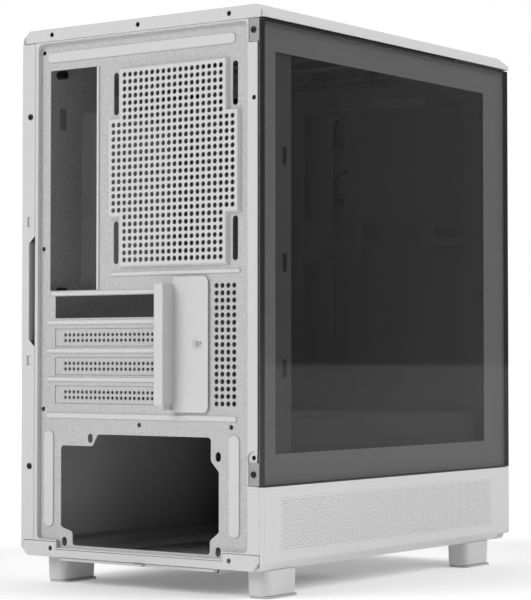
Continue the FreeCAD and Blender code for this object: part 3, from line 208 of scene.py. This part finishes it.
def solder_mask():
    return surface("solder_mask", dark=(0.008, 0.05, 0.026, 1), light=(0.015, 0.075, 0.04, 1),
                   rough=(0.25, 0.4), grain=900, strength=0.1, depth=0.0001)


def border_ink():
    """Grey print on the back of the glass."""
    return surface("border_ink", dark=grey(0.34), light=grey(0.46), rough=(0.55, 0.65),
                   grain=1500, strength=0.1, depth=0.0001)


def light_diffuser():
    material, nodes, links, shader = new_material("light_diffuser")
    noise = object_noise(nodes, links, 3000)
    mottled(nodes, links, shader, noise, grey(0.78), grey(0.85))
    shader.inputs["Roughness"].default_value = 0.35
    shader.inputs["Subsurface Weight"].default_value = 0.3
    return material


def smoked_glass():
    material, nodes, links, shader = new_material("smoked_glass")
    noise = object_noise(nodes, links, 30)
    mottled(nodes, links, shader, noise, grey(0.010), grey(0.013))
    shader.inputs["Roughness"].default_value = 0.03
    shader.inputs["Specular IOR Level"].default_value = 0.3
    shader.inputs["Alpha"].default_value = 0.5
    return material


def glass_edge():
    """The ground edges of the pane look black from outside."""
    return surface("glass_edge", dark=grey(0.008), light=grey(0.014), rough=(0.12, 0.2),
                   grain=900, strength=0.05, depth=0.00005)


# Painted shade: the coat of the rear recess is darker than the panel paint on the same white sheet.
RECESS_SHADE = recess_shade_coat()
# Painted shade: the white inside sheets are coloured darker than the outside.
INNER_SHADE = inner_shade_coat()
PAINT = panel_coat()
MOULDING = white_moulding()
BLACK = black_moulding()
OXIDE = black_oxide()
ZINC = zinc()
NICKEL = nickel()
RUBBER = pad_rubber()
# Painted shade: the white glass frame is coloured grey for the pockets it sits in.
TAB_SHADE = tab_shade_grey()
NYLON = nylon()
MASK = solder_mask()
INK = border_ink()
DIFFUSER = light_diffuser()
GLASS = smoked_glass()
GLASS_EDGE = glass_edge()

BODY_OF = {node: body for body, nodes in frame["record"]["behaviour"]["bodies"].items() for node in nodes}


# ---------------------------------------------------------------- making pieces
# Angles in degrees: above the first an edge is shaded sharp, above the second it is rounded, and below the
# third two faces are one flat. Then how close two vertices of a node lie when they are one, in millimetres.
SHADING_ANGLE = 35.0
SHARP_ANGLE = 40.0
FLAT_ANGLE = 0.8
MERGE_DISTANCE = 0.002

# How squarely a face looks along an axis when it counts as facing that way.
SQUARE_ON = 0.99


def finish_piece(bm, name, node, materials):
    """Writes a bmesh as a piece that stands for a node and moves with its body."""
    mesh = bpy.data.meshes.new(name)
    bm.to_mesh(mesh)
    bm.free()
    for material in materials:
        mesh.materials.append(material)
    mesh.shade_smooth()
    mesh.set_sharp_from_angle(angle=math.radians(SHADING_ANGLE))
    piece = bpy.data.objects.new(name, mesh)
    bpy.context.scene.collection.objects.link(piece)
    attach(piece, BODY_OF[node])
    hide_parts(node)
    return piece


def weighted(piece):
    """Keeps the big flats flat next to their rounded edges."""
    finish = piece.modifiers.new("flat_faces", "WEIGHTED_NORMAL")
    finish.keep_sharp = True
    return piece


def merged_copy(node):
    """The node's own shape with its doubles merged and its flat faces joined."""
    bm = bmesh.new()
    bm.from_mesh(frame["nodes"][node].data)
    bmesh.ops.remove_doubles(bm, verts=bm.verts, dist=MERGE_DISTANCE * MM)
    bmesh.ops.dissolve_limit(bm, angle_limit=math.radians(FLAT_ANGLE), verts=bm.verts, edges=bm.edges,
                             use_dissolve_boundaries=False, delimit=set())
    return bm


def is_sharp(edge):
    return len(edge.link_faces) == 2 and edge.calc_face_angle(0.0) > math.radians(SHARP_ANGLE)


def soften(bm, width, segments=2, where=None):
    """Rounds the sharp edges, or those for which where(edge middle in case coordinates) holds."""
    edges = []
    for edge in bm.edges:
        if not is_sharp(edge):
            continue
        middle = in_case((edge.verts[0].co + edge.verts[1].co) / 2)
        if where is None or where(middle):
            edges.append(edge)
    bmesh.ops.bevel(bm, geom=edges, offset=width * MM, segments=segments, profile=0.5, affect="EDGES",
                    material=-1, clamp_overlap=False)


def rounded_piece(node, material, width):
    """The node's own shape with its sharp edges rounded."""
    bm = merged_copy(node)
    soften(bm, width)
    return weighted(finish_piece(bm, node + "_finished", node, [material]))


# ---------------------------------------------------------------- perforated sheets
VENT_PITCH, VENT_HOLE = 5.0, 1.8

# Slack in comparing places, in cells or millimetres.
SLACK = 0.01
# Half the square that a hole starts from, as a share of the hole's radius.
SQUARE_SHARE = 0.72
# Least plain edge along the two sides of a sheet together, in cells.
LEAST_EDGE = 0.3

# Columns and rows of holes in the two blocks of the fan grille's plus shape, the width from the outer
# holes' middles to the bend, and the steps of the bend: how far outwards and how much deeper each goes.
GRILLE_BLOCKS = ((22, 13), (18, 27))
GRILLE_EDGE = 3.6
GRILLE_BEND = ((0.4, 0.1), (0.3, 0.3), (1.1, 3.0))


def ring_step(offset, blocks, pitch):
    """How many cells a place lies outside the blocks of columns and rows, across and up."""
    steps = [(max(0.0, abs(offset.x) / pitch - columns / 2), max(0.0, abs(offset.z) / pitch - rows / 2))
             for columns, rows in blocks]
    reach = min(max(step) for step in steps)
    nearest = [step for step in steps if max(step) < reach + SLACK]
    return max(step[0] for step in nearest), max(step[1] for step in nearest)


def shifted(vert, steps, width):
    """Moves a vertex outwards, by width for each cell that it lies outside."""
    vert.co.x += steps[0] * width * math.copysign(1, vert.co.x)
    vert.co.z += steps[1] * width * math.copysign(1, vert.co.z)


def bordered_field(blocks, pitch, margin):
    """Flat field of square cells round the origin, facing the rear, with a plain margin around it."""
    pitch, margin = pitch * MM, margin * MM
    columns = max(block[0] for block in blocks) + 2
    rows = max(block[1] for block in blocks) + 2
    bm = bmesh.new()
    bmesh.ops.create_grid(bm, x_segments=columns, y_segments=rows, size=0.5)
    bmesh.ops.scale(bm, vec=(columns * pitch, rows * pitch, 1), verts=bm.verts)
    bmesh.ops.rotate(bm, cent=(0, 0, 0), matrix=Matrix.Rotation(math.pi / 2, 3, "X"), verts=bm.verts)
    outside = [face for face in bm.faces
               if max(ring_step(face.calc_center_median(), blocks, pitch)) > 1]
    bmesh.ops.delete(bm, geom=outside, context="FACES")
    cells = [face for face in bm.faces if max(ring_step(face.calc_center_median(), blocks, pitch)) == 0]
    for vert in bm.verts:
        shifted(vert, ring_step(vert.co, blocks, pitch), margin - pitch)
    return bm, cells


def punch(bm, cells, radius, cuts):
    """Gives each square cell a round hole with 4 * (cuts + 1) sides."""
    edge = cells[0].edges[0].calc_length()
    bmesh.ops.inset_individual(bm, faces=cells, thickness=edge / 2 - radius * MM * SQUARE_SHARE,
                               use_even_offset=True)
    rims = list({edge for cell in cells for edge in cell.edges})
    bmesh.ops.bisect_edges(bm, edges=rims, cuts=cuts)
    for cell in cells:
        centre = cell.calc_center_median()
        for vert in cell.verts:
            vert.co = centre + (vert.co - centre).normalized() * radius * MM
    bmesh.ops.delete(bm, geom=cells, context="FACES_ONLY")


def thicken(bm, thickness):
    """Gives a sheet that faces the rear its wall, on the side towards the front of the case."""
    grown = bmesh.ops.extrude_face_region(bm, geom=bm.faces[:], use_keep_orig=True)
    back = [item for item in grown["geom"] if isinstance(item, bmesh.types.BMVert)]
    bmesh.ops.translate(bm, vec=(0, thickness * MM, 0), verts=back)
    bmesh.ops.recalc_face_normals(bm, faces=bm.faces)


def facing_rear(bm):
    """Turns the faces of an open sheet towards the rear."""
    bmesh.ops.recalc_face_normals(bm, faces=bm.faces)
    if sum(face.normal.y * face.calc_area() for face in bm.faces) > 0:
        bmesh.ops.reverse_faces(bm, faces=bm.faces)


def fan_grille():
    """Raised field of round holes in a plus shape, drawn out of the rear plate with a sloping edge."""
    low, high = case_box("fan_grille")
    centre = (low + high) / 2
    bm, cells = bordered_field(GRILLE_BLOCKS, VENT_PITCH, GRILLE_EDGE - VENT_PITCH / 2)
    for outwards, deeper in GRILLE_BEND:
        rim = [edge for edge in bm.edges if edge.is_boundary]
        skirt = bmesh.ops.extrude_edge_only(bm, edges=rim)
        for vert in skirt["geom"]:
            if isinstance(vert, bmesh.types.BMVert):
                steps = ring_step(vert.co, GRILLE_BLOCKS, VENT_PITCH * MM)
                shifted(vert, [math.ceil(step - SLACK) for step in steps], outwards * MM)
                vert.co.y += deeper * MM
    punch(bm, cells, VENT_HOLE, 3)
    facing_rear(bm)
    bmesh.ops.translate(bm, vec=at(centre.x, low.y, centre.z), verts=bm.verts)
    thicken(bm, SHEET)
    return weighted(finish_piece(bm, "drawn_fan_grille", "fan_grille", [PAINT]))


def on_dark_square(cell, pitch):
    """Whether a cell is one of the dark squares of a chessboard."""
    middle = cell.calc_center_median() / (pitch * MM)
    return (math.floor(middle.x + 0.25) + math.floor(middle.z + 0.25)) % 2 == 0


def perforated(name, node, material, pitch, radius, cuts, axis="v", staggered=False):
    """A flat sheet of the node's size, full of holes up to a plain edge. It is thin along axis."""
    low, high = case_box(node)
    across, up = {"v": (0, 2), "u": (1, 2), "w": (0, 1)}[axis]
    through = 3 - across - up
    wide, tall = high[across] - low[across], high[up] - low[up]
    columns, rows = int(wide / pitch - LEAST_EDGE), int(tall / pitch - LEAST_EDGE)
    margin = min(wide - columns * pitch, tall - rows * pitch) / 2
    bm, cells = bordered_field(((columns, rows),), pitch, margin)
    for vert in bm.verts:
        if abs(vert.co.x) > (columns * pitch / 2 + SLACK) * MM:
            vert.co.x = math.copysign(wide / 2 * MM, vert.co.x)
        if abs(vert.co.z) > (rows * pitch / 2 + SLACK) * MM:
            vert.co.z = math.copysign(tall / 2 * MM, vert.co.z)
    if staggered:
        cells = [cell for cell in cells if on_dark_square(cell, pitch)]
    punch(bm, cells, radius, cuts)
    facing_rear(bm)
    thicken(bm, high[through] - low[through])
    centre = (low + high) / 2
    front = Vector(centre)
    if axis == "u":
        bmesh.ops.rotate(bm, cent=(0, 0, 0), matrix=Matrix.Rotation(math.pi / 2, 3, "Z"), verts=bm.verts)
        front.x = high.x
    elif axis == "w":
        bmesh.ops.rotate(bm, cent=(0, 0, 0), matrix=Matrix.Rotation(-math.pi / 2, 3, "X"), verts=bm.verts)
        front.z = high.z
    else:
        front.y = low.y
    bmesh.ops.translate(bm, vec=at(*front), verts=bm.verts)
    return finish_piece(bm, name, node, [material])


# ---------------------------------------------------------------- rear of the case
# Where the sunk plate lies, how far past it its rim reaches, and how far from a plane an edge may lie.
RECESS_SPAN_U = (15.5, 203.9)
RECESS_SPAN_W = (13.0, 368.7)
RIM_REACH = 0.3
IN_PLANE = 0.02
# Depth over which the plate's darker coat, painted shade of the recess, ends and the frame's paint begins.
RECESS_SHADE_DEPTH = 0.4

# The bracket's folded lip is this deep, and starts this far from both of its ends.
LIP_DEPTH = 1.0
LIP_START = 6.0

# Cross of a screw, as shares of its head: half the width and half the length of an arm, its depth, and the
# size of its floor. Then the rounding of the head, as a share of its height and at most, and the shank.
ARM_SHARE, REACH_SHARE, DEPTH_SHARE, FLOOR_SHARE = 0.13, 0.48, 0.55, 0.7
ROUND_SHARE, ROUND_MOST = 0.55, 0.9
SHANK_RADIUS, TIP_SHARE = 1.4, 0.8


def rear_panel():
    """Pressed rear sheet: a drawn recess with raised beads, a smooth frame round a grainy plate that is
    coloured darker as painted shade of the recess.
    """
    bm = merged_copy("rear_panel")
    soften(bm, 0.6, 3, lambda place: abs(place.y - (RECESS - EMBOSS)) < IN_PLANE)
    soften(bm, 0.4, 2, lambda place: abs(place.y) < IN_PLANE
           and RECESS_SPAN_U[0] - RIM_REACH < place.x < RECESS_SPAN_U[1] + RIM_REACH
           and RECESS_SPAN_W[0] - RIM_REACH < place.z < RECESS_SPAN_W[1] + RIM_REACH)
    piece = finish_piece(bm, "pressed_rear_panel", "rear_panel", [PAINT, RECESS_SHADE])
    # Faces deep in the recess get the darker coat: painted shade of the recess on the same white sheet.
    for face in piece.data.polygons:
        depth = (face.center - CORNER).y / MM
        face.material_index = 1 if depth > RECESS - RECESS_SHADE_DEPTH else 0
    return weighted(piece)


def islands(node):
    """Box of each separate solid of a node, in case coordinates."""
    bm = merged_copy(node)
    left = set(bm.verts)
    boxes = []
    while left:
        front = [left.pop()]
        found = list(front)
        while front:
            vert = front.pop()
            for edge in vert.link_edges:
                other = edge.other_vert(vert)
                if other in left:
                    left.remove(other)
                    front.append(other)
                    found.append(other)
        low = Vector([min(vert.co[axis] for vert in found) for axis in range(3)])
        high = Vector([max(vert.co[axis] for vert in found) for axis in range(3)])
        boxes.append((in_case(low), in_case(high)))
    bm.free()
    return boxes


def cut_cross(part, arm, reach, depth):
    """Sinks a cross into the top of a screw's head."""
    for axis in ((1, 0, 0), (0, 1, 0)):
        for offset in (-reach, -arm, arm, reach):
            top = [face for face in part.faces if face.normal.z > SQUARE_ON]
            geom = top + list({edge for face in top for edge in face.edges}) \
                + list({vert for face in top for vert in face.verts})
            bmesh.ops.bisect_plane(part, geom=geom, dist=1e-8, plane_co=Vector(axis) * offset, plane_no=axis)
    recess = []
    for face in part.faces:
        middle = face.calc_center_median()
        if face.normal.z < SQUARE_ON or max(abs(middle.x), abs(middle.y)) > reach:
            continue
        if abs(middle.x) < arm or abs(middle.y) < arm:
            recess.append(face)
    sunk = bmesh.ops.extrude_face_region(part, geom=recess)
    bottom = [item for item in sunk["geom"] if isinstance(item, bmesh.types.BMVert)]
    bmesh.ops.delete(part, geom=recess, context="FACES")
    bmesh.ops.translate(part, vec=(0, 0, -depth), verts=bottom)
    bmesh.ops.scale(part, vec=(FLOOR_SHARE, FLOOR_SHARE, 1), verts=bottom)


def cross_screw(bm, place, facing, head_radius, head_tall, length):
    """Pan head with a cross recess. The head's top is at place and looks along facing."""
    part = bmesh.new()
    head = bmesh.ops.create_cone(part, cap_ends=True, segments=24, radius1=head_radius * MM,
                                 radius2=head_radius * MM, depth=head_tall * MM)
    bmesh.ops.translate(part, vec=(0, 0, -head_tall / 2 * MM), verts=head["verts"])
    rim = [edge for edge in part.edges if abs(edge.verts[0].co.z) < 1e-7 and abs(edge.verts[1].co.z) < 1e-7]
    bmesh.ops.bevel(part, geom=rim, offset=min(head_tall * ROUND_SHARE, ROUND_MOST) * MM, segments=3,
                    profile=0.5, affect="EDGES", material=-1, clamp_overlap=True)
    cut_cross(part, head_radius * ARM_SHARE * MM, head_radius * REACH_SHARE * MM,
              head_tall * DEPTH_SHARE * MM)
    shank = bmesh.ops.create_cone(part, cap_ends=True, segments=16, radius1=SHANK_RADIUS * MM * TIP_SHARE,
                                  radius2=SHANK_RADIUS * MM, depth=(length - head_tall) * MM)
    bmesh.ops.translate(part, vec=(0, 0, -(length + head_tall) / 2 * MM), verts=shank["verts"])
    turn = Vector(facing).to_track_quat("Z", "Y").to_matrix().to_4x4()
    bmesh.ops.transform(part, matrix=Matrix.Translation(at(*place)) @ turn, verts=part.verts)
    mesh = bpy.data.meshes.new("screw")
    part.to_mesh(mesh)
    part.free()
    bm.from_mesh(mesh)
    bpy.data.meshes.remove(mesh)


def screws(name, node, material, facing, head_radius, head_tall):
    """The node's screws, each in its own box, with their heads looking along facing."""
    bm = bmesh.new()
    facing = Vector(facing)
    for low, high in islands(node):
        middle = (low + high) / 2
        half = (high - low) / 2
        place = middle + Vector([facing[axis] * half[axis] for axis in range(3)])
        length = 2 * sum(abs(facing[axis]) * half[axis] for axis in range(3))
        cross_screw(bm, place, facing, head_radius, head_tall, length)
    return finish_piece(bm, name, node, [material])


def slot_bracket():
    """Folded guard over the slot screws, with its lip's edges rounded."""
    bm = merged_copy("slot_bracket")
    low, high = case_box("slot_bracket")
    soften(bm, 0.55, 3, lambda place: place.y < low.y + LIP_DEPTH
           and low.z + LIP_START < place.z < high.z - LIP_START)
    return weighted(finish_piece(bm, "folded_slot_bracket", "slot_bracket", [PAINT]))


# ---------------------------------------------------------------- glass side
GROUND_EDGE = 0.5


def glass_panel():
    """Tinted pane with ground edges, which look black."""
    low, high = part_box("glass_panel")
    bm = bmesh.new()
    bmesh.ops.create_cube(bm, size=1.0)
    bmesh.ops.scale(bm, vec=high - low, verts=bm.verts)
    bmesh.ops.translate(bm, vec=(low + high) / 2, verts=bm.verts)
    bmesh.ops.bevel(bm, geom=bm.edges[:], offset=GROUND_EDGE * MM, segments=2, profile=0.5, affect="EDGES",
                    material=-1, clamp_overlap=True)
    piece = finish_piece(bm, "smoked_pane", "glass_panel", [GLASS, GLASS_EDGE])
    for face in piece.data.polygons:
        face.material_index = 0 if abs(face.normal.x) > SQUARE_ON else 1
    return weighted(piece)


# ---------------------------------------------------------------- the assembly
fan_grille()
rear_panel()
slot_bracket()
# The side vent takes the darker coat: painted shade of the rear recess.
perforated("side_vent", "side_vent_grille", RECESS_SHADE, VENT_PITCH, VENT_HOLE, 3)
screws("cover_screws", "slot_screws", ZINC, (-1, 0, 0), 3.1, 2.2)
screws("guard_screw", "slot_bracket_screw", ZINC, (0, -1, 0), 3.0, 0.8)
screws("pane_screws", "glass_screws", OXIDE, (0, -1, 0), 2.2, 0.9)
screws("right_panel_screws", "side_panel_screws", OXIDE, (0, -1, 0), 2.2, 0.9)
perforated("lower_side_mesh_sheet", "lower_side_mesh", PAINT, 1.7, 0.52, 1, "u", True)
# The floor vent takes the darker inside coat: painted shade of the inside of the case.
perforated("floor_vent_sheet", "floor_vent", INNER_SHADE, 4.0, 1.5, 2, "w")
glass_panel()

# Finish, rounding and nodes of the pieces that keep the frame's own shape with softer edges.
ROUNDED = (
    # The slot covers take the darker coat: painted shade of the rear recess.
    (RECESS_SHADE, 0.25, ("slot_cover_upper", "slot_cover_middle", "slot_cover_lower")),
    (PAINT, 0.25, ("bottom_pan", "right_side_panel", "lower_side_panel")),
    (PAINT, 0.8, ("top_cover",)),
    # The glass frame takes the grey that is painted shade of its pockets.
    (TAB_SHADE, 0.25, ("glass_frame",)),
    # The inside sheets take the darker coat: painted shade of the inside of the case.
    (INNER_SHADE, 0.3, ("motherboard_tray", "top_frame", "psu_shroud", "drive_cage", "drive_bracket")),
    (MOULDING, 0.5, ("front_panel",)),
    (MOULDING, 0.8, ("foot_rear_right", "foot_rear_left", "foot_front_right", "foot_front_left")),
    (MOULDING, 0.5, ("power_button", "reset_button", "filter_rails", "top_filter")),
    (BLACK, 0.5, ("drive_tray_lower", "drive_tray_upper")),
    (NICKEL, 0.1, ("usb_ports",)))
for material, width, nodes in ROUNDED:
    for node in nodes:
        rounded_piece(node, material, width)

# Finishes of the nodes that stay as they are in the frame.
CAD_FINISH = {
    MOULDING: ("ball_studs", "psu_filter"),
    # The front frame and mesh take the darker inside coat: painted shade of the inside of the case.
    INNER_SHADE: ("front_frame", "front_mesh"),
    BLACK: ("audio_jack", "power_switch", "reset_switch", "cable_hooks"),
    ZINC: ("foot_screws", "rivets"),
    OXIDE: ("motherboard_standoffs",),
    RUBBER: ("foot_pads",),
    NYLON: ("top_filter_mesh", "psu_filter_mesh"),
    MASK: ("port_board",),
    INK: ("glass_border",),
    DIFFUSER: ("status_light",)}
for material, nodes in CAD_FINISH.items():
    for node in nodes:
        frame["nodes"][node].data.materials.clear()
        frame["nodes"][node].data.materials.append(material)


# ---------------------------------------------------------------- studio
# Strength of the room's light from the left, from the right and from the bright wall behind the tower,
# and the direction in which that wall stands.
LEFT_FILL, RIGHT_FILL, WALL_FILL = 0.30, 0.16, 1.0
WALL_DIRECTION = (-0.59, 0.81, 0.0)

FLOOR_SIZE, FLOOR_TONE, FLOOR_GLOW = 60, 0.93, 0.18

# Name, strength and direction of each soft lamp, and how wide the lamps look, in degrees.
LAMPS = (("rear_light", 1.6, (0.35, 0.75, -0.62)), ("side_light", 1.65, (-0.72, -0.3, -0.62)))
LAMP_SPREAD = 35

EYE = (0.9292, -1.27975, 0.1620)
SIGHT_LINE = (-0.5896, 0.8065, 0.0356)
LENS, LENS_SHIFT = 125.5, -0.0302


def room_light(scene):
    """White room that is bright behind the tower and dim in front of it, dimmest on the glass side."""
    world = bpy.data.worlds.new("studio")
    scene.world = world
    world.use_nodes = True
    nodes, links = world.node_tree.nodes, world.node_tree.links
    background = nodes["Background"]
    place = nodes.new("ShaderNodeTexCoord")
    split = nodes.new("ShaderNodeSeparateXYZ")
    links.new(place.outputs["Generated"], split.inputs["Vector"])
    facing = nodes.new("ShaderNodeVectorMath")
    facing.operation = "DOT_PRODUCT"
    facing.inputs[1].default_value = WALL_DIRECTION
    links.new(place.outputs["Generated"], facing.inputs[0])
    wall = spread(nodes, links, facing.outputs["Value"], 0.25, 0.65, 0.0, 1.0)
    sides = spread(nodes, links, split.outputs["X"], -0.6, 0.5, LEFT_FILL, RIGHT_FILL)
    blend = nodes.new("ShaderNodeMix")
    links.new(wall, blend.inputs["Factor"])
    links.new(sides, blend.inputs["A"])
    blend.inputs["B"].default_value = WALL_FILL
    links.new(blend.outputs["Result"], background.inputs["Strength"])
    background.inputs["Color"].default_value = (1, 1, 1, 1)


def studio_floor():
    """White floor with a faint glow."""
    bpy.ops.mesh.primitive_plane_add(size=FLOOR_SIZE, location=(0, 0, 0))
    floor = bpy.context.active_object
    floor.name = "floor"
    material, _, _, shader = new_material("floor_white")
    shader.inputs["Base Color"].default_value = grey(FLOOR_TONE)
    shader.inputs["Emission Color"].default_value = grey(1.0)
    shader.inputs["Emission Strength"].default_value = FLOOR_GLOW
    shader.inputs["Roughness"].default_value = 0.9
    floor.data.materials.append(material)


def lamps(scene):
    for name, energy, towards in LAMPS:
        sun = bpy.data.lights.new(name, "SUN")
        sun.energy = energy
        sun.angle = math.radians(LAMP_SPREAD)
        lamp = bpy.data.objects.new(name, sun)
        lamp.rotation_mode = "QUATERNION"
        lamp.rotation_quaternion = Vector(towards).to_track_quat("-Z", "Y")
        scene.collection.objects.link(lamp)


def studio_camera(scene):
    camera = bpy.data.cameras.new("camera")
    camera.lens = LENS
    camera.shift_y = LENS_SHIFT
    camera.clip_start = 0.05
    camera.clip_end = 100
    eye = bpy.data.objects.new("camera", camera)
    eye.location = EYE
    eye.rotation_mode = "QUATERNION"
    eye.rotation_quaternion = Vector(SIGHT_LINE).to_track_quat("-Z", "Y")
    scene.collection.objects.link(eye)
    scene.camera = eye


def studio():
    scene = bpy.context.scene
    scene.view_settings.view_transform = "Standard"
    room_light(scene)
    studio_floor()
    lamps(scene)
    studio_camera(scene)


studio()
